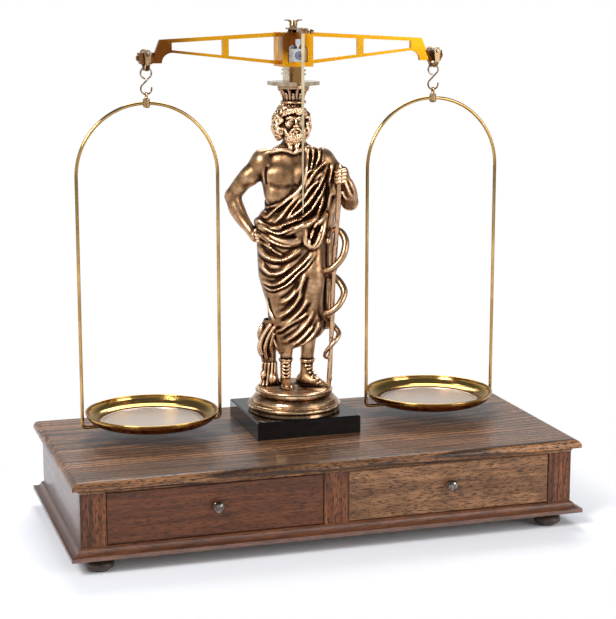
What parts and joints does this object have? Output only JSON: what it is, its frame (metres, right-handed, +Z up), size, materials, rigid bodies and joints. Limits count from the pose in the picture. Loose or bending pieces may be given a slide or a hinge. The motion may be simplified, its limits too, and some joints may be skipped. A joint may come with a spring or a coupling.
{
  "type": "counter balance",
  "caption": "Equal-arm counter balance: a knife-edge beam on a statue column carries hanging pans over a wooden cabinet with drawers.",
  "frame": {"origin": "floor level under the middle of the whole balance", "axes": "+X along the front to the right, +Y to the back, +Z up; the drawers open towards -Y"},
  "size_m": [0.4888, 0.234, 0.477],
  "materials": {
    "oak_top": "stained oak, satin varnish",
    "oak_case": "stained oak, satin varnish",
    "oak_drawer": "stained oak, satin varnish",
    "plain_wood": "unfinished pale wood",
    "turned_wood": "dark stained, satin",
    "black_stone": "polished black stone",
    "bronze": "antiqued bronze, dark in the hollows and rubbed on the high parts",
    "gilt_bronze": "antiqued gold bronze",
    "lacquered_brass": "lacquered yellow brass",
    "polished_brass": "polished brass",
    "antique_brass": "aged brass, satin",
    "dark_steel": "darkened steel",
    "bright_steel": "ground steel"
  },
  "bodies": {
    "base": {"top_board": "oak_top", "front_moulding": "oak_case", "back_moulding": "oak_case", "left_moulding": "oak_case", "right_moulding": "oak_case", "floor_panel": "plain_wood", "left_side": "oak_case", "right_side": "oak_case", "back_panel": "oak_case", "left_stile": "oak_case", "right_stile": "oak_case", "centre_stile": "oak_case", "centre_partition": "plain_wood", "drawer_guides": "plain_wood", "feet": "turned_wood", "plinth": "black_stone", "plinth_screws": "bright_steel", "pedestal": "gilt_bronze", "tie_rod": "bright_steel", "figure": "bronze", "staff": "bronze", "serpent": "bronze", "capital": "gilt_bronze", "pillar_plate": "lacquered_brass", "pillar": "lacquered_brass", "bearing_block": "bright_steel", "bearing_disc": "bright_steel"},
    "left_drawer": {"left_drawer_front": "oak_drawer", "left_drawer_box": "plain_wood", "left_drawer_bottom": "plain_wood", "left_knob": "antique_brass"},
    "right_drawer": {"right_drawer_front": "oak_drawer", "right_drawer_box": "plain_wood", "right_drawer_bottom": "plain_wood", "right_knob": "antique_brass"},
    "beam": {"beam": "lacquered_brass", "centre_knife": "bright_steel", "end_blocks": "dark_steel", "end_knives": "bright_steel", "end_screws": "dark_steel", "bracket_washer": "antique_brass", "pointer_bracket": "antique_brass", "lock_nut": "antique_brass", "poising_stud": "antique_brass", "pointer": "antique_brass", "pointer_clamp": "antique_brass", "clamp_screw": "antique_brass"},
    "poising_nut": {"poising_nut": "antique_brass"},
    "left_yoke": {"left_yoke": "antique_brass"},
    "right_yoke": {"right_yoke": "antique_brass"},
    "left_hook": {"left_hook": "antique_brass"},
    "right_hook": {"right_hook": "antique_brass"},
    "left_hanger": {"left_stirrup": "antique_brass", "left_collar": "antique_brass", "left_pan": "polished_brass"},
    "right_hanger": {"right_stirrup": "antique_brass", "right_collar": "antique_brass", "right_pan": "polished_brass"}
  },
  "joints": [
    {"name": "beam_tilt", "type": "hinge", "parent": "base", "child": "beam", "pos_m": [0, 0.025, 0.44995], "axis": [0, 1, 0], "range_deg": [-3, 3]},
    {"name": "left_yoke_level", "type": "hinge", "parent": "beam", "child": "left_yoke", "pos_m": [-0.1417, 0.025, 0.44895], "axis": [0, 1, 0], "range_deg": [-3, 3]},
    {"name": "left_hook_swing", "type": "hinge", "parent": "left_yoke", "child": "left_hook", "pos_m": [-0.1417, 0.025, 0.43195], "axis": [0, 1, 0], "range_deg": [-2, 2]},
    {"name": "left_pan_swing", "type": "hinge", "parent": "left_hook", "child": "left_hanger", "pos_m": [-0.1417, 0.025, 0.40952], "axis": [1, 0, 0], "range_deg": [-4, 4]},
    {"name": "left_drawer_slide", "type": "slide", "parent": "base", "child": "left_drawer", "axis": [0, -1, 0], "range_m": [0, 0.12]},
    {"name": "right_yoke_level", "type": "hinge", "parent": "beam", "child": "right_yoke", "pos_m": [0.1417, 0.025, 0.44895], "axis": [0, 1, 0], "range_deg": [-3, 3]},
    {"name": "right_hook_swing", "type": "hinge", "parent": "right_yoke", "child": "right_hook", "pos_m": [0.1417, 0.025, 0.43195], "axis": [0, 1, 0], "range_deg": [-2, 2]},
    {"name": "right_pan_swing", "type": "hinge", "parent": "right_hook", "child": "right_hanger", "pos_m": [0.1417, 0.025, 0.40952], "axis": [1, 0, 0], "range_deg": [-4, 4]},
    {"name": "right_drawer_slide", "type": "slide", "parent": "base", "child": "right_drawer", "axis": [0, -1, 0], "range_m": [0, 0.12]},
    {"name": "poising_nut_turn", "type": "hinge", "parent": "beam", "child": "poising_nut", "pos_m": [0, 0.025, 0.4745], "axis": [0, 0, 1], "range_deg": [-180, 180]}
  ],
  "couplings": [
    {"joint": "left_yoke_level", "follows": "beam_tilt", "ratio": -1},
    {"joint": "right_yoke_level", "follows": "beam_tilt", "ratio": -1}
  ]
}
